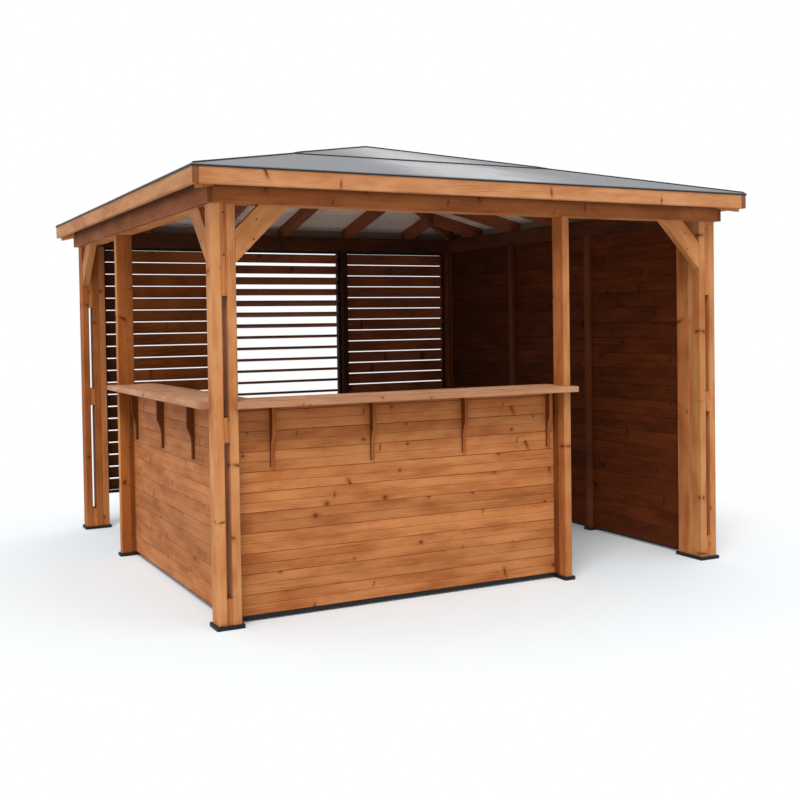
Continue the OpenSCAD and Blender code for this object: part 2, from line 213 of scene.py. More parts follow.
def sawn_timber_group():
    """Face of a flat-sawn softwood board.

    The tone drifts in clouds and in streaks stretched along the board, with growth rings that come and
    go as bands of the distance from a wavering pith line. Knots sit at the points of a long-celled
    Voronoi pattern: some are round, others are spikes that cross the board at a slant.
    """
    group, net, inp, out = new_group(
        "sawn_timber",
        [("Along", "Float"), ("Across", "Float"), ("Seed", "Float"),
         ("Pale", "Color"), ("Deep", "Color"), ("Knot", "Color"),
         ("Ring", "Float"), ("Knots", "Float"), ("Spikes", "Float"), ("Contrast", "Float")],
        [("Color", "Color"), ("Roughness", "Float"), ("Height", "Float")])
    seed = inp["Seed"]
    along = net.add(inp["Along"], net.times(seed, 23.7))
    across = inp["Across"]
    far = net.times(seed, 9.1)

    def patches(per_along, per_across, depth=far, detail=2.0, roughness=0.5):
        """Noise with about so many patches a metre along and across the board."""
        spot = net.vector(net.times(along, per_along), net.times(across, per_across), depth)
        return net.noise(spot, detail, roughness)

    cell_across = net.add(net.times(across, 1 / KNOT_CELL_WIDE), far)
    cell = net.vector(net.times(along, 1 / KNOT_CELL_LONG), cell_across)
    knots = net.node("ShaderNodeTexVoronoi", voronoi_dimensions="2D", feature="F1")
    net.put(knots.inputs["Vector"], cell)
    net.put(knots.inputs["Scale"], 1.0)
    net.put(knots.inputs["Randomness"], 0.95)
    here = net.split(cell)
    centre = net.split(knots.outputs["Position"])
    dice = net.split(knots.outputs["Color"])
    off_long = net.times(net.minus(here[0], centre[0]), KNOT_CELL_LONG)
    off_wide = net.times(net.minus(here[1], centre[1]), KNOT_CELL_WIDE)
    spike = net.math("LESS_THAN", dice[2], inp["Spikes"])
    slant = net.times(net.minus(dice[1], 0.5), 0.9, spike)
    off_long = net.add(off_long, net.times(off_wide, slant))
    long_scale = net.add(0.8, net.times(spike, 0.55))
    wide_scale = net.add(1.0, net.times(spike, -0.58))
    off_long = net.times(off_long, long_scale)
    off_wide = net.times(off_wide, wide_scale)
    ragged = patches(75.0, 75.0)
    reach = net.math("SQRT", net.add(net.times(off_long, off_long), net.times(off_wide, off_wide)))
    reach = net.add(reach, net.times(net.minus(ragged, 0.5), 0.006))
    present = net.math("LESS_THAN", dice[0], inp["Knots"])
    radius = net.ramp(dice[1], 0.0, 1.0, *KNOT_RADIUS)
    rel = net.math("DIVIDE", reach, radius)
    core = net.times(net.ramp(rel, 1.25, 0.6), present)
    rim = net.times(net.ramp(rel, 2.6, 1.0), present)
    swirl = net.times(net.ramp(rel, 6.0, 0.8), present)

    waver = net.minus(patches(1.4, 8.0), 0.5)
    pith = net.minus(net.chance(net.add(seed, 3.3)), 0.5)
    from_pith = net.add(across, net.times(pith, 0.16), net.times(waver, 0.06))
    ring_r = net.math("SQRT", net.add(net.times(from_pith, from_pith), 0.0003))
    phase = net.add(net.math("DIVIDE", ring_r, inp["Ring"]), net.times(swirl, 0.9), net.times(waver, 1.6))
    ring = net.add(net.times(net.math("SINE", net.times(phase, 2 * math.pi)), 0.5), 0.5)
    shown = patches(2.6, 14.0, net.add(far, 4.0))
    ring = net.times(net.math("POWER", ring, 2.2), net.ramp(shown, 0.42, 0.68))

    streak = patches(1.9, 42.0, detail=4.0, roughness=0.6)
    fibre = patches(14.0, 460.0)
    cloud = patches(2.8, 9.0, detail=4.0, roughness=0.6)

    depth = net.add(
        net.times(ring, RING_SHARE),
        net.times(net.minus(streak, 0.5), STREAK_SHARE),
        net.times(net.minus(fibre, 0.5), FIBRE_SHARE),
        net.times(net.minus(cloud, 0.5), CLOUD_SHARE))
    share = net.add(0.4, net.times(depth, inp["Contrast"]))
    colour = net.mix(net.ramp(share, -0.1, 1.1), inp["Pale"], inp["Deep"])
    colour = net.mix(net.times(swirl, 0.35), colour, inp["Deep"])
    colour = net.mix(net.times(rim, 0.5), colour, inp["Knot"])
    colour = net.mix(net.times(core, 0.8), colour, inp["Knot"])
    tone = net.add(0.88, net.times(net.chance(net.add(seed, 8.8)), 0.22))
    roughness = net.add(0.5, net.times(fibre, 0.2), net.times(cloud, 0.12), net.times(core, -0.1))
    height = net.add(net.times(fibre, 0.45), net.times(ring, 0.3), net.times(core, 0.4))
    net.put(out["Color"], net.scaled(colour, tone))
    net.put(out["Roughness"], roughness)
    net.put(out["Height"], height)
    return group


SAWN_TIMBER = sawn_timber_group()


def place(net):
    """Coordinates on the part, x, y and z in metres."""
    where = net.node("ShaderNodeTexCoord")
    return net.split(where.outputs["Object"])


def normal(net):
    """The way that the surface looks, as x, y and z."""
    where = net.node("ShaderNodeTexCoord")
    return net.split(where.outputs["Normal"])


def facing(net, axis):
    """1 where the surface looks along the axis either way, 0 elsewhere."""
    return net.ramp(net.size(normal(net)["xyz".index(axis)]), 0.75, 0.9)


def new_material(name):
    """Material with a net and its Principled shader."""
    material = bpy.data.materials.new(name)
    material.use_nodes = True
    net = Net(material.node_tree)
    shader = material.node_tree.nodes["Principled BSDF"]
    return material, net, shader


class Wood:
    """Colours and figure of one timber finish."""

    def __init__(self, pale, deep, knot, ring=0.011, knots=0.55, spikes=0.48, contrast=1.0, gloss=0.22):
        self.gloss = gloss
        self.colours = {"Pale": pale, "Deep": deep, "Knot": knot}
        self.figure = {"Ring": ring, "Knots": knots, "Spikes": spikes, "Contrast": contrast}


def out_of_plan(net):
    """Distance from the plan's middle along the way that a face looks: above 0 outside, below 0 inside."""
    way_x, way_y, way_z = normal(net)
    x, y, z = place(net)
    return net.add(net.times(way_x, x), net.times(way_y, y))


def inward(net):
    """1 on faces that look towards the middle of the plan, 0 on the others."""
    return net.ramp(out_of_plan(net), -0.4, -0.9)


def outward(net):
    """1 on faces that look away from the middle of the plan, 0 on the others."""
    return net.ramp(out_of_plan(net), 0.4, 0.9)


def not_outward(net):
    """0 on faces that look away from the middle of the plan, 1 on the others."""
    return net.minus(1.0, outward(net))


def timber(name, wood, lay, seed, end_axis=None, end_tone=0.55, other=None, shade=None, joints=(0.2, 0.8)):
    """Timber material.

    The lay function gives the board's along, across and seed, and a joint mask or None. The end tone is
    the share of the knot colour on end grain. The other wood comes with a mask of the faces that it is
    put on; on several pieces the inner faces take a darker copy of the wood as painted shade, and some
    faces a paler copy as painted light. The shade function gives a mask of painted shade that takes the
    face towards its knot colour. The joints are the weakest and the strongest line along a joint.
    """
    material, net, shader = new_material(name)
    along, across, board, joint = lay(net)
    dark = wood.colours["Knot"]
    figure = net.node("ShaderNodeGroup", node_tree=SAWN_TIMBER)
    for label, value in wood.figure.items():
        net.put(figure.inputs[label], value)
    for label, value in wood.colours.items():
        if other:
            other_wood, mask = other
            value = net.mix(mask(net), value, other_wood.colours[label])
        net.put(figure.inputs[label], value)
    net.put(figure.inputs["Along"], along)
    net.put(figure.inputs["Across"], across)
    net.put(figure.inputs["Seed"], net.chance(net.add(board, seed)))
    colour = figure.outputs["Color"]
    if end_axis:
        colour = net.mix(net.times(facing(net, end_axis), end_tone), colour, dark)
    if joint is not None:
        spot = net.vector(net.times(along, 3.2), net.times(board, 7.7), seed)
        drift = net.noise(spot, detail=3.0, roughness=0.7)
        colour = net.mix(net.times(joint, net.ramp(drift, 0.3, 0.62, *joints)), colour, dark)
    if shade:
        colour = net.mix(net.times(shade(net), SHADE_DEPTH), colour, dark)
    net.put(shader.inputs["Base Color"], colour)
    net.put(shader.inputs["Roughness"], figure.outputs["Roughness"])
    net.put(shader.inputs["Normal"], net.bump(figure.outputs["Height"], GRAIN_RELIEF))
    shader.inputs["Specular IOR Level"].default_value = wood.gloss
    return material


def corner_number(net, x, y):
    """Number that differs from quarter to quarter of the plan."""
    return net.add(net.times(net.math("SIGN", x), 3.1), net.times(net.math("SIGN", y), 7.3))


def courses(net, over, width):
    """Boards side by side: the board's number, the place across it and the distance from its nearer edge."""
    level = net.times(over, 1 / width)
    board = net.math("FLOOR", level)
    local = net.times(net.minus(level, board), width)
    edge = net.math("MINIMUM", local, net.minus(width, local))
    return board, local, edge


def lay_upright(net):
    """Standing timber: along Z, across round its faces; each timber of a corner post is its own piece."""
    x, y, z = place(net)
    into_post = net.minus(net.size(x), HALF - POST_WIDE)
    half_post = net.math("FLOOR", net.times(into_post, 1 / POST_TIMBER))
    return z, net.add(x, y), net.add(half_post, corner_number(net, x, y)), None


def lay_along_x(net):
    """Rail along X: across is Y and Z together."""
    x, y, z = place(net)
    return x, net.add(y, z), net.math("SIGN", y), None


def lay_along_y(net):
    """Rail along Y: across is X and Z together."""
    x, y, z = place(net)
    return y, net.add(x, z), net.math("SIGN", x), None


def lay_brace(net):
    """Knee brace: along the diagonal that rises away from its post."""
    x, y, z = place(net)
    out = net.add(net.size(x), net.size(y))
    along = net.times(net.minus(z, out), math.sqrt(0.5))
    across = net.times(net.add(z, out), math.sqrt(0.5))
    return along, across, net.add(net.math("SIGN", x), net.times(net.math("SIGN", y), 2.0)), None


def lay_slope_x(net):
    """Rafter of the front or back slope: along Y, across measured square to the slope."""
    x, y, z = place(net)
    lifted = net.add(z, net.times(net.size(y), ROOF_SLOPE))
    return y, net.add(x, lifted), net.math("ROUND", net.times(x, 1 / RAFTER_SPACING)), None


def lay_slope_y(net):
    """Rafter of the left or right slope: along X."""
    x, y, z = place(net)
    lifted = net.add(z, net.times(net.size(x), ROOF_SLOPE))
    return x, net.add(y, lifted), net.math("ROUND", net.times(y, 1 / RAFTER_SPACING)), None


def lay_hip(net):
    """Hip rafter: along the plan's diagonals."""
    x, y, z = place(net)
    along = net.times(net.add(net.size(x), net.size(y)), math.sqrt(0.5))
    lifted = net.add(z, net.times(along, ROOF_SLOPE * math.sqrt(0.5)))
    return along, lifted, corner_number(net, x, y), None


def lay_boards(run):
    """Level boards along X or Y, one on the other, with the solids' V joints and a groove half-way up."""
    def lay(net):
        x, y, z = place(net)
        board, local, edge = courses(net, net.minus(z, BOARD_BASE), BOARD_COVER)
        joint = net.ramp(edge, JOINT_HALF, JOINT_HALF * BOARD_LINE_FULL)
        from_groove = net.size(net.minus(local, BOARD_COVER / 2))
        groove = net.ramp(from_groove, GROOVE_HALF, GROOVE_HALF * BOARD_LINE_FULL, 0.0, GROOVE_STRENGTH)
        along = {"x": x, "y": y}[run]
        return along, local, board, net.math("MAXIMUM", joint, groove)

    return lay


def lay_planks(run):
    """Planks of a counter side by side, running along X or Y."""
    def lay(net):
        x, y, z = place(net)
        along, over = {"x": (x, y), "y": (y, x)}[run]
        board, local, edge = courses(net, over, COUNTER_PLANK)
        joint = net.ramp(edge, PLANK_JOINT_HALF, PLANK_JOINT_FULL)
        return along, net.add(local, z), board, joint

    return lay


def lay_deck(run):
    """Sheathing boards of a roof slope, laid level up the slope; as many as the solid's joints make."""
    def lay(net):
        x, y, z = place(net)
        along, over = {"x": (x, net.size(y)), "y": (y, net.size(x))}[run]
        board, local, edge = courses(net, over, DECK_BOARD)
        joint = net.ramp(edge, JOINT_HALF, JOINT_HALF * DECK_LINE_FULL)
        return along, local, board, joint

    return lay


def lay_blades(net):
    """Louvre blades along X, one board each."""
    low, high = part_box("louvre_frames")
    pitch = (high.z - low.z - 2 * LOUVRE_RAIL) / BLADES
    x, y, z = place(net)
    board = net.math("FLOOR", net.times(net.minus(z, low.z + LOUVRE_RAIL), 1 / pitch))
    return x, net.add(y, net.times(z, BLADE_RISE)), board, None


def rubber(name):
    """Grey roofing rubber: smoother in the middle of each slope and paler there as a painted sheen, duller by
    the hips and eaves.
    """
    dull_grey = stain(118, 120, 124)
    sheen_grey = stain(142, 144, 147)
    material, net, shader = new_material(name)
    x, y, z = place(net)
    flat = net.vector(x, y, 0.0)
    cloud = net.noise(flat, detail=4.0, scale=1.3)
    sheen_noise = net.noise(flat, detail=3.0, scale=9.0)
    grain = net.noise(flat, detail=1.0, scale=420.0)
    aside = net.math("MINIMUM", net.size(x), net.size(y))
    wander = net.add(aside, net.times(net.minus(cloud, 0.5), 0.7))
    painted_sheen = net.times(net.ramp(wander, 0.7, 0.05), net.ramp(sheen_noise, 0.3, 0.7, 0.8, 1.0))
    net.put(shader.inputs["Base Color"], net.mix(painted_sheen, dull_grey, sheen_grey))
    net.put(shader.inputs["Roughness"], net.ramp(painted_sheen, 0.0, 1.0, 0.66, 0.26))
    shader.inputs["Specular IOR Level"].default_value = 0.6
    ripple = net.noise(net.vector(x, y, 3.0), detail=1.0, scale=3.0)
    net.put(shader.inputs["Normal"], net.bump(net.add(ripple, net.times(grain, 0.05)), 0.004))
    return material


def coated(name, low, high, gloss):
    """Coated metal or plastic with a faint orange-peel texture, its colour between a low and a high tone."""
    material, net, shader = new_material(name)
    x, y, z = place(net)
    peel = net.noise(net.vector(x, y, z), detail=2.0, scale=260.0)
    cloud = net.noise(net.vector(x, y, z), detail=3.0, scale=12.0)
    net.put(shader.inputs["Base Color"], net.mix(cloud, low, high))
    net.put(shader.inputs["Roughness"], net.ramp(cloud, 0.3, 0.7, gloss, gloss + 0.15))
    net.put(shader.inputs["Normal"], net.bump(peel, 0.0003))
    shader.inputs["Specular IOR Level"].default_value = 0.25
    return material


# Limits of the masks, most of them painted shade, each from its weak end to its full end
LEFT_BRACKETS_Y = (-1.46, -1.42)
LOUVRE_POSTS_Y = (1.35, 1.4)
WALL_SHADE_Y = (-0.9, 1.5)
FASCIA_SHADE_Z = (BEAM_BOTTOM + 0.045, BEAM_BOTTOM + 0.1)
HIP_TAIL_X = (HALF - 0.04, HALF - 0.02)
COUNTER_SHADE_Z = (COUNTER_BOTTOM - 0.22, COUNTER_BOTTOM)
BLADE_END_X = (-1.28, -1.33)
# Strengths of the masks of painted shade that don't go up to 1, the bracket flanks' partly a darker stain
BRACKET_FLANK = 0.85
WALL_SHADE = 0.75
COUNTER_SHADE = 0.45
CORNER_SHADE = 0.6


def dark_bracket(net):
    """1 on the brackets of the left bar, which are darker, and less on the flanks of the front ones, partly
    painted shade and partly a darker stain.
    """
    x, y, z = place(net)
    return net.math("MAXIMUM", net.ramp(y, *LEFT_BRACKETS_Y), net.times(facing(net, "x"), BRACKET_FLANK))


def lit_underside(net):
    """1 on faces that look down, 0 elsewhere; for the front and left beams, paler below as painted light,
    their other faces darker as painted shade.
    """
    return net.ramp(normal(net)[2], -0.75, -0.9)


def louvre_post_shade(net):
    """1 on the posts between the louvre panels, inside, where a near-black painted shade falls."""
    x, y, z = place(net)
    return net.times(net.ramp(y, *LOUVRE_POSTS_Y), not_outward(net))


def wall_shade_to_back(net):
    """Painted shade on the inside of the boarded wall, growing towards the louvred back."""
    x, y, z = place(net)
    return net.times(net.ramp(y, *WALL_SHADE_Y, 0.0, WALL_SHADE), not_outward(net))


def shadow_below_fascia(net):
    """1 in the upper part of the headers, a painted shadow of the fascias above."""
    x, y, z = place(net)
    return net.ramp(z, *FASCIA_SHADE_Z)


def hip_tail(net):
    """1 on the ends of the hip rafters, outside the headers, which keep the posts' wood instead of the
    rafters' painted shade.
    """
    x, y, z = place(net)
    return net.ramp(net.size(x), *HIP_TAIL_X)


def fascia_joint_shadow(net):
    """1 in the open joint at both ends of the front and back fascias, a painted shadow in the joint."""
    x, y, z = place(net)
    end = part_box("front_fascia")[1].x
    return net.ramp(net.size(x), end - 0.008, end - 0.003)


def shadow_below_counter(net):
    """Painted shadow of a counter on the boards under it, fading out two boards down."""
    x, y, z = place(net)
    return net.ramp(z, *COUNTER_SHADE_Z, 0.0, COUNTER_SHADE)


def left_board_shade(net):
    """Painted shade under the left counter and in the corner where the left boards meet their post."""
    x, y, z = place(net)
    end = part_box("left_bar_panel")[1].y
    corner = net.ramp(y, end - 0.07, end - 0.02, 0.0, CORNER_SHADE)
    return net.math("MAXIMUM", shadow_below_counter(net), corner)


def blade_end_shade(net):
    """1 at the far left ends of the louvre blades, inside, where a near-black painted shade falls."""
    x, y, z = place(net)
    return net.times(net.ramp(x, *BLADE_END_X), not_outward(net))


def dress(material, *nodes):
    """Puts a material on CAD nodes."""
    for node in nodes:
        shown = NODES[node]
        if not shown.material_slots:
            shown.data.materials.append(material)
        for slot in shown.material_slots:
            slot.material = material


# Finishes: pale and deep tone of the wood, and the tone of its knots. The woods named shaded or in shade are
# darker copies that paint shade, and the lit blade wood paints light
FRAME_WOOD = Wood(stain(205, 143, 89), stain(167, 96, 45), stain(92, 46, 18))
FASCIA_WOOD = Wood(stain(206, 148, 101), stain(172, 106, 60), stain(92, 46, 18), knots=0.34, spikes=0.75)
# Inner faces of the front bar post: a darker copy of the post wood, painted shade
SHADED_BAR_POST_WOOD = Wood(stain(196, 124, 68), stain(156, 85, 37), stain(80, 40, 15))
SHADED_POST_WOOD = Wood(stain(176, 105, 51), stain(137, 72, 28), stain(76, 37, 13), gloss=0.14)
# Battens in the recesses between posts and boards: dark painted shade
SHADED_BATTEN_WOOD = Wood(stain(136, 76, 34), stain(104, 54, 21), stain(60, 29, 10), knots=0.2, gloss=0.1)
JAMB_WOOD = Wood(stain(196, 126, 72), stain(152, 82, 36), stain(78, 38, 14))
# Headers: darker than the posts, painted shade under the fascias
SHADED_HEADER_WOOD = Wood(stain(170, 102, 52), stain(131, 65, 25), stain(72, 34, 12))
BOARD_WOOD = Wood(stain(196, 129, 77), stain(153, 84, 40), stain(98, 48, 17), knots=0.62, gloss=0.14)
COUNTER_WOOD = Wood(stain(205, 156, 121), stain(168, 115, 80), stain(106, 60, 34), knots=0.35)
BRACKET_WOOD = Wood(stain(166, 98, 50), stain(130, 67, 28), stain(86, 40, 13), knots=0.1, gloss=0.08)
# Inside of the boarded wall and of the back right post: near-black painted shade
SHADED_WALL_WOOD = Wood(stain(104, 48, 17), stain(72, 30, 9), stain(32, 14, 5), knots=0.5, gloss=0.08)
# Louvre blades inside: darker copies of the board wood, painted shade; the left blades' copy is more orange,
# painted light through the doorway
SHADED_BLADE_WOOD = Wood(stain(140, 78, 48), stain(98, 53, 33), stain(44, 22, 12), knots=0.3, gloss=0.1)
LIT_BLADE_WOOD = Wood(stain(148, 82, 36), stain(101, 52, 21), stain(46, 24, 11), knots=0.3, gloss=0.1)
# Front and left beams: darker than the posts, painted shade under the roof
BEAM_WOOD_IN_SHADE = Wood(stain(134, 76, 47), stain(96, 53, 32), stain(46, 24, 14), knots=0.4, gloss=0.1)
# Inside of the wall posts: dark painted shade
SHADED_WALL_POST_WOOD = Wood(stain(110, 60, 34), stain(78, 42, 24), stain(26, 14, 8), knots=0.4, gloss=0.08)
SHADED_BEAM_WOOD = Wood(stain(88, 49, 29), stain(61, 33, 19), stain(30, 16, 9), knots=0.4, gloss=0.08)
# Rafters: darker than the posts, painted shade under the roof
SHADED_RAFTER_WOOD = Wood(stain(142, 82, 52), stain(104, 58, 36), stain(50, 27, 16), knots=0.4, gloss=0.1)
# Louvre frames inside: near-black painted shade
SHADED_LOUVRE_FRAME_WOOD = Wood(stain(34, 21, 15), stain(20, 12, 9), stain(12, 8, 6), knots=0.2)
DECK_WOOD = Wood(stain(246, 233, 220), stain(227, 208, 190), stain(146, 118, 92), knots=0.4, contrast=0.7)

# Posts, jambs and other standing timber
dress(timber("frame_upright", FRAME_WOOD, lay_upright, 1.0, "z"),
      "front_left_post", "front_right_post")
dress(timber("bar_post_wood", SHADED_BAR_POST_WOOD, lay_upright, 3.0, "z", other=(FRAME_WOOD, outward)),
      "front_bar_post")
dress(timber("left_bar_post_wood", SHADED_POST_WOOD, lay_upright, 3.5, "z", other=(FRAME_WOOD, outward)),
      "left_bar_post")
dress(timber("jamb_wood", JAMB_WOOD, lay_upright, 3.0, "z"),
      "door_jambs")
dress(timber("batten_wood", SHADED_BATTEN_WOOD, lay_upright, 3.0, "z"),
      "bar_battens")
dress(timber("back_post_wood", SHADED_POST_WOOD, lay_upright, 11.0, "z"),
      "back_left_post")
dress(timber("inner_post_wood", JAMB_WOOD, lay_upright, 11.0, "z", other=(SHADED_WALL_WOOD, inward)),
      "back_right_post")
dress(timber("wall_post_wood", SHADED_WALL_POST_WOOD, lay_upright, 8.0, "z", other=(JAMB_WOOD, outward),
             shade=louvre_post_shade),
      "wall_posts")
dress(timber("spacer_block", JAMB_WOOD, lay_upright, 21.0, "z"),
      "post_spacers")
dress(timber("bracket_wood", BRACKET_WOOD, lay_upright, 5.0, "z", shade=dark_bracket),
      "counter_brackets")

# Ring of headers and beams, braces and fascias
dress(timber("brace_wood", FRAME_WOOD, lay_brace, 9.0),
      "knee_braces")
dress(timber("header_x", SHADED_HEADER_WOOD, lay_along_x, 2.0, "x", other=(DECK_WOOD, inward), shade=shadow_below_fascia),
      "front_header", "back_header")
dress(timber("header_y", SHADED_HEADER_WOOD, lay_along_y, 4.0, "y", other=(DECK_WOOD, inward), shade=shadow_below_fascia),
      "left_header", "right_header")
dress(timber("beam_x", BEAM_WOOD_IN_SHADE, lay_along_x, 13.0, "x", other=(FRAME_WOOD, lit_underside)),
      "front_beam")
dress(timber("beam_y", BEAM_WOOD_IN_SHADE, lay_along_y, 14.0, "y", other=(FRAME_WOOD, lit_underside)),
      "left_beam")
dress(timber("back_beam_wood", SHADED_BEAM_WOOD, lay_along_x, 13.0, "x"),
      "back_beam")
dress(timber("right_beam_wood", SHADED_BEAM_WOOD, lay_along_y, 15.0, "y"),
      "right_beam")
dress(timber("fascia_x", FASCIA_WOOD, lay_along_x, 6.0, shade=fascia_joint_shadow),
      "front_fascia", "back_fascia")
# Side fascias' end grain: partly its own darker tone, partly painted shade in the corner
dress(timber("fascia_y", FASCIA_WOOD, lay_along_y, 7.0, "y", end_tone=0.7),
      "left_fascia", "right_fascia")

# Boarding, counters and louvres
dress(timber("front_bar_boards", BOARD_WOOD, lay_boards("x"), 10.0, shade=shadow_below_counter, joints=(0.1, 0.62)),
      "front_bar_panel")
dress(timber("left_bar_boards", BOARD_WOOD, lay_boards("y"), 40.0, shade=left_board_shade,
             joints=(0.0, 0.28)),
      "left_bar_panel")
dress(timber("right_wall_boards", SHADED_WALL_WOOD, lay_boards("y"), 70.0, other=(BOARD_WOOD, outward),
             shade=wall_shade_to_back, joints=(0.0, 0.25)),
      "right_wall_panels")
dress(timber("front_counter_planks", COUNTER_WOOD, lay_planks("x"), 12.0, "x", end_tone=0.2),
      "front_counter")
dress(timber("left_counter_planks", COUNTER_WOOD, lay_planks("y"), 16.0, "y", end_tone=0.2),
      "left_counter")
dress(timber("lit_blade_wood", LIT_BLADE_WOOD, lay_blades, 30.0, other=(BOARD_WOOD, outward),
             shade=blade_end_shade),
      "left_louvre_blades")
dress(timber("blade_wood", SHADED_BLADE_WOOD, lay_blades, 35.0, other=(BOARD_WOOD, outward)),
      "middle_louvre_blades", "right_louvre_blades")
dress(timber("louvre_frame_wood", SHADED_LOUVRE_FRAME_WOOD, lay_upright, 31.0, other=(JAMB_WOOD, outward)),
      "louvre_frames")

# Roof timbers
dress(timber("rafter_front_back", SHADED_RAFTER_WOOD, lay_slope_x, 50.0),
      "front_rafters", "back_rafters")
dress(timber("rafter_left_right", SHADED_RAFTER_WOOD, lay_slope_y, 54.0),
      "left_rafters", "right_rafters")
dress(timber("hip_wood", SHADED_RAFTER_WOOD, lay_hip, 58.0, other=(FRAME_WOOD, hip_tail)),
      "hip_rafters")
dress(timber("hub_wood", SHADED_RAFTER_WOOD, lay_upright, 59.0, "z"),
      "ridge_hub")
dress(timber("deck_front_back", DECK_WOOD, lay_deck("x"), 80.0, joints=(0.0, 0.3)),
      "front_roof_deck", "back_roof_deck")
dress(timber("deck_left_right", DECK_WOOD, lay_deck("y"), 90.0, joints=(0.0, 0.3)),
      "left_roof_deck", "right_roof_deck")

# Rubber, metal and plastic
dress(rubber("roof_rubber"),
      "roof_covering")
dress(coated("black_steel", stain(26, 26, 28), stain(42, 42, 45), 0.5),
      "roof_edge_trim")
dress(coated("black_plastic", stain(20, 20, 22), stain(34, 34, 37), 0.55),
      "foot_plates", "base_strips")


def add_mesh(name, points, faces, material):
    """New smooth piece from an array of points and an array of quads; rides on the building."""
    mesh = bpy.data.meshes.new(name)
    mesh.from_pydata(points.reshape(-1, 3), [], faces.reshape(-1, 4))
    mesh.polygons.foreach_set("use_smooth", np.full(len(mesh.polygons), True))
    mesh.update()
    mesh.materials.append(material)
    piece = bpy.data.objects.new(name, mesh)
    bpy.context.scene.collection.objects.link(piece)
    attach(piece, "root")
    return piece


def tube_quads(rows, columns, copies):
    """Quads of tubes, rows of points along each and columns round it, stored tube after tube."""
    copy, row, column = np.meshgrid(np.arange(copies), np.arange(rows - 1), np.arange(columns), indexing="ij")
    base = copy * rows * columns
    after = (column + 1) % columns
    return np.stack([base + row * columns + column, base + row * columns + after,
                     base + (row + 1) * columns + after, base + (row + 1) * columns + column], axis=-1)


# Sealing beads: points along and around one, and the length over which its ends close
BEAD_STEPS = 40
BEAD_TURNS = 12
BEAD_END = 0.012
# Half width and height of the beads on the hips and on the lap, and how deep their middles sink in
HIP_BEAD = (0.009, 0.008)
LAP_BEAD = (0.007, 0.0075)
HIP_SINK = 0.001
LAP_SINK = 0.0005
# Distance of the hip beads' ends from the eave, and of the lap bead from the edge of the lap
EAVE_GAP = 0.002
LAP_GAP = 0.001


def cover_top(reach):
    """Height of the roof covering's upper face where the larger of |x| and |y| is reach."""
    lap = np.where(reach < LAP_AT, COVER_T + LAP_T, COVER_T)
    return FASCIA_TOP + (EAVE - reach) * ROOF_SLOPE + lap * math.hypot(1.0, ROOF_SLOPE)


def bead(path, side, lift, width, height):
    """Sealing bead along a straight path, closed at both ends.

    Point (s, t) is path(s) + taper(s) * (side * width * cos(2 pi t) + lift * height * sin(2 pi t)). The taper
    rises from 0 to 1 over the first few millimetres from either end.
    """
    turn = np.linspace(0.0, 2 * math.pi, BEAD_TURNS, endpoint=False)
    from_end = np.minimum(np.linalg.norm(path - path[0], axis=1), np.linalg.norm(path - path[-1], axis=1))
    taper = np.sqrt(np.clip(from_end / BEAD_END, 0.0, 1.0))[:, None, None]
    section = np.cos(turn)[None, :, None] * width * side + np.sin(turn)[None, :, None] * height * lift
    return path[:, None, :] + taper * section


def roof_seams(material):
    """Sealed seams of the rubber: a bead down each hip and one along the lower edge of the lapped course.

    Each is a bead on a straight path; the front pair is turned by quarters round the middle of the plan.
    """
    share = 0.5 - 0.5 * np.cos(np.linspace(0.0, math.pi, BEAD_STEPS))
    down = -BEAD_END + share * (EAVE - EAVE_GAP + BEAD_END)
    along = (2 * share - 1) * LAP_AT
    level = np.full(BEAD_STEPS, LAP_AT + LAP_GAP)
    slope = math.atan(ROOF_SLOPE)
    hip = np.stack([down, -down, cover_top(np.abs(down)) - HIP_SINK], axis=1)
    lap = np.stack([along, -level, cover_top(level) - LAP_SINK], axis=1)
    hip_side = np.array([math.sqrt(0.5), math.sqrt(0.5), 0.0])
    lap_side = np.array([0.0, math.cos(slope), math.sin(slope)])
    up = np.array([0.0, 0.0, 1.0])
    beads = []
    for quarter in range(4):
        turn = np.array(Matrix.Rotation(quarter * math.pi / 2, 3, "Z"))
        beads.append(bead(hip, hip_side, up, *HIP_BEAD) @ turn.T)
        beads.append(bead(lap, lap_side, up, *LAP_BEAD) @ turn.T)
    faces = tube_quads(BEAD_STEPS, BEAD_TURNS, len(beads))
    return add_mesh("roof_seams", np.stack(beads), faces, material)


# Turned profile of a countersunk screw head, from the middle of its recess to its rim, and points round it
SCREW_RADIUS = np.array([0.0, 0.0017, 0.0019, 0.0042, 0.0050, 0.0053])
SCREW_HEIGHT = np.array([0.0001, 0.0001, 0.0010, 0.0009, 0.0004, -0.0004])
SCREW_TURNS = 20
# Screws of a brace: distance from its post and height from the beam's underside; the braces' set-in
BRACE_SCREWS = ((0.095, -0.171), (0.111, -0.074))
BRACE_SET_IN = 0.005
# Heights of the screws in the front posts' spacer blocks; the blocks' set-in
SPACER_SCREW_Z = (2.034, 1.829)
SPACER_SET_IN = 0.003


def screw_heads(name, places, ways, material):
    """Countersunk screw heads, each a turned profile.

    Point (r, a) of a head is centre + radius(r) * (u cos a + v sin a) + height(r) * way, with u and v square
    to way.
    """
    turn = np.linspace(0.0, 2 * math.pi, SCREW_TURNS, endpoint=False)
    places = np.asarray(places)
    ways = np.asarray(ways)
    flat = np.cross(ways, (0.0, 0.0, 1.0))
    rise = np.cross(flat, ways)
    ring = flat[:, None, :] * np.cos(turn)[None, :, None] + rise[:, None, :] * np.sin(turn)[None, :, None]
    points = (places[:, None, None, :] + SCREW_RADIUS[None, :, None, None] * ring[:, None, :, :]
              + SCREW_HEIGHT[None, :, None, None] * ways[:, None, None, :])
    faces = tube_quads(len(SCREW_RADIUS), SCREW_TURNS, len(places))
    return add_mesh(name, points, faces, material)


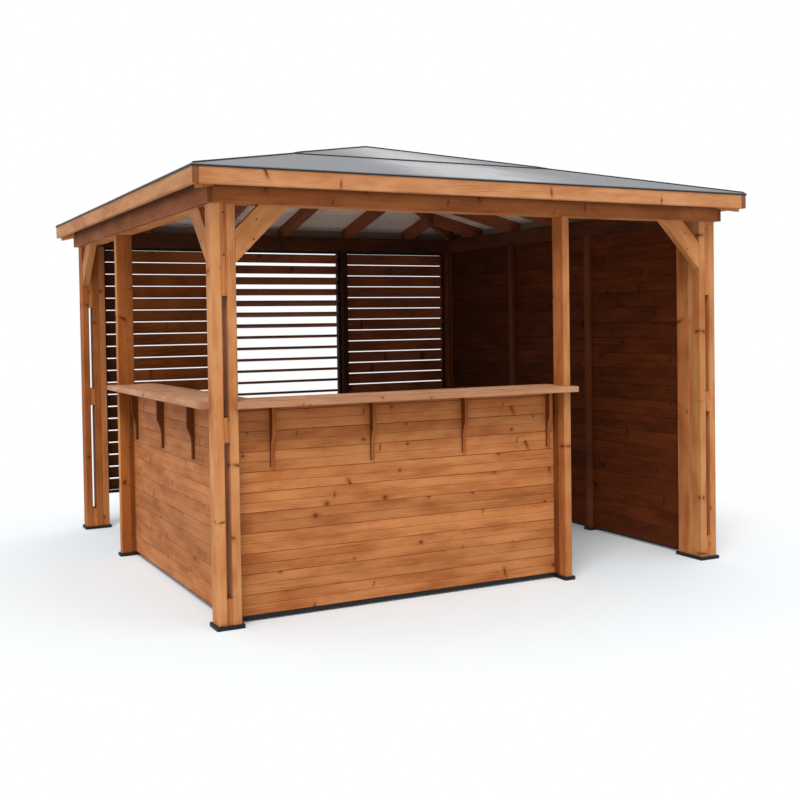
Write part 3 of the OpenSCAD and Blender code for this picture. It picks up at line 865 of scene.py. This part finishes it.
def brace_screws(material):
    """Screws through the front and left knee braces: in each one low by the post and one high by the beam."""
    out = HALF - BRACE_SET_IN
    places = []
    ways = []
    for along, rise in BRACE_SCREWS:
        for side in (-1, 1):
            places.append((side * (HALF - POST_WIDE - along), -out, BEAM_BOTTOM + rise))
            ways.append((0.0, -1.0, 0.0))
            places.append((-out, side * (HALF - POST_DEEP - along), BEAM_BOTTOM + rise))
            ways.append((-1.0, 0.0, 0.0))
    return screw_heads("brace_screws", places, ways, material)


def spacer_screws(material):
    """Screws through the upper spacer blocks of the front posts, one above the other."""
    middle = HALF - POST_WIDE / 2
    places = [(side * middle, -HALF + SPACER_SET_IN, z) for side in (-1, 1) for z in SPACER_SCREW_Z]
    ways = [(0.0, -1.0, 0.0)] * len(places)
    return screw_heads("spacer_screws", places, ways, material)


SEAL = coated("seam_seal", stain(26, 27, 29), stain(42, 43, 46), 0.6)
SCREW = coated("screw_steel", stain(58, 38, 26), stain(84, 60, 44), 0.4)
roof_seams(SEAL)
brace_screws(SCREW)
spacer_screws(SCREW)

WHITE = (1.0, 1.0, 1.0, 1.0)
# Floor: half width, colour for the light it throws back, colour as seen near the object (darker than white, a
# painted shade), and where it fades to white
FLOOR_HALF = 30.0
FLOOR_BOUNCE = (0.78, 0.78, 0.78, 1.0)
FLOOR_SEEN_SHADED = (0.825, 0.888, 0.926, 1.0)
FLOOR_FADE = (2.1, 3.6)
# Light of the overcast dome at the horizon and straight overhead
DOME_HORIZON = 0.6
DOME_ZENITH = 0.9
# Key light: strength, spread in degrees, colour, and the way towards it from the object
KEY_STRENGTH = 1.7
KEY_SPREAD = 26.0
KEY_COLOUR = (1.0, 0.99, 0.98)
KEY_FROM = (-0.62, -0.8, 1.35)
# Camera of the photograph: place, turn and tilt in radians, focal length and optical axis in pixels
CAMERA_AT = Vector((-3.239, -6.729, 1.487))
CAMERA_YAW = -0.4771
CAMERA_PITCH = -0.0247
CAMERA_ROLL = -0.0147
FOCAL_PX = 1099.16
AXIS_PX = 349.92
IMAGE_PX = 800


def shows_background(net):
    """1 for rays that show the background: from the camera, off a glossy surface or through a clear one."""
    path = net.node("ShaderNodeLightPath")
    seen = net.math("MAXIMUM", path.outputs["Is Camera Ray"], path.outputs["Is Glossy Ray"])
    return net.math("MAXIMUM", seen, path.outputs["Is Transmission Ray"])


def studio_floor():
    """Pale floor, darker near the object as painted shade, that fades to plain white far from the object."""
    corners = [(-FLOOR_HALF, -FLOOR_HALF, 0), (FLOOR_HALF, -FLOOR_HALF, 0),
               (FLOOR_HALF, FLOOR_HALF, 0), (-FLOOR_HALF, FLOOR_HALF, 0)]
    mesh = bpy.data.meshes.new("studio_floor")
    mesh.from_pydata(corners, [], [(0, 1, 2, 3)])
    floor = bpy.data.objects.new("studio_floor", mesh)
    bpy.context.scene.collection.objects.link(floor)
    material, net, shader = new_material("studio_floor")
    material.node_tree.nodes.remove(shader)
    seen = shows_background(net)
    x, y, z = place(net)
    away = net.math("SQRT", net.add(net.times(x, x), net.times(y, y)))
    plain = net.node("ShaderNodeBsdfDiffuse")
    net.put(plain.inputs["Color"], net.mix(seen, FLOOR_BOUNCE, FLOOR_SEEN_SHADED))
    white = net.node("ShaderNodeEmission")
    net.put(white.inputs["Color"], WHITE)
    net.put(white.inputs["Strength"], 1.0)
    blend = net.node("ShaderNodeMixShader")
    net.put(blend.inputs[0], net.times(net.ramp(away, *FLOOR_FADE), seen))
    net.put(blend.inputs[1], plain.outputs[0])
    net.put(blend.inputs[2], white.outputs[0])
    net.put(material.node_tree.nodes["Material Output"].inputs["Surface"], blend.outputs[0])
    mesh.materials.append(material)


def studio_world():
    """Overcast dome, brighter overhead than at the horizon, shown to the camera as white."""
    world = bpy.data.worlds.new("studio_world")
    bpy.context.scene.world = world
    world.use_nodes = True
    net = Net(world.node_tree)
    dome = world.node_tree.nodes["Background"]
    where = net.node("ShaderNodeTexCoord")
    rise = net.math("MAXIMUM", net.split(where.outputs["Generated"])[2], 0.0)
    sky = net.add(DOME_HORIZON, net.times(rise, DOME_ZENITH - DOME_HORIZON))
    seen = shows_background(net)
    strength = net.add(net.times(sky, net.minus(1.0, seen)), seen)
    net.put(dome.inputs["Color"], WHITE)
    net.put(dome.inputs["Strength"], strength)


def key_light():
    """Soft key from the front and a little from the left, a broad sun."""
    lamp = bpy.data.lights.new("key_light", "SUN")
    lamp.energy = KEY_STRENGTH
    lamp.angle = math.radians(KEY_SPREAD)
    lamp.color = KEY_COLOUR
    key = bpy.data.objects.new("key_light", lamp)
    bpy.context.scene.collection.objects.link(key)
    key.rotation_euler = Vector(KEY_FROM).to_track_quat("Z", "Y").to_euler()


def photo_camera():
    """Camera at the photograph's place, its axes worked out from yaw, pitch and roll."""
    forward = Vector((
        -math.sin(CAMERA_YAW) * math.cos(CAMERA_PITCH),
        math.cos(CAMERA_YAW) * math.cos(CAMERA_PITCH),
        math.sin(CAMERA_PITCH)))
    level = Vector((math.cos(CAMERA_YAW), math.sin(CAMERA_YAW), 0.0))
    upward = level.cross(forward)
    right = math.cos(CAMERA_ROLL) * level + math.sin(CAMERA_ROLL) * upward
    above = -math.sin(CAMERA_ROLL) * level + math.cos(CAMERA_ROLL) * upward
    lens = bpy.data.cameras.new("photo_camera")
    lens.sensor_fit = "HORIZONTAL"
    lens.sensor_width = 36.0
    lens.lens = FOCAL_PX * lens.sensor_width / IMAGE_PX
    lens.shift_y = (AXIS_PX - IMAGE_PX / 2) / IMAGE_PX
    lens.clip_end = 200.0
    camera = bpy.data.objects.new("photo_camera", lens)
    bpy.context.scene.collection.objects.link(camera)
    camera.matrix_world = Matrix((
        (right.x, above.x, -forward.x, CAMERA_AT.x),
        (right.y, above.y, -forward.y, CAMERA_AT.y),
        (right.z, above.z, -forward.z, CAMERA_AT.z),
        (0.0, 0.0, 0.0, 1.0)))
    bpy.context.scene.camera = camera


studio_floor()
studio_world()
key_light()
photo_camera()
bpy.context.scene.view_settings.view_transform = "Standard"
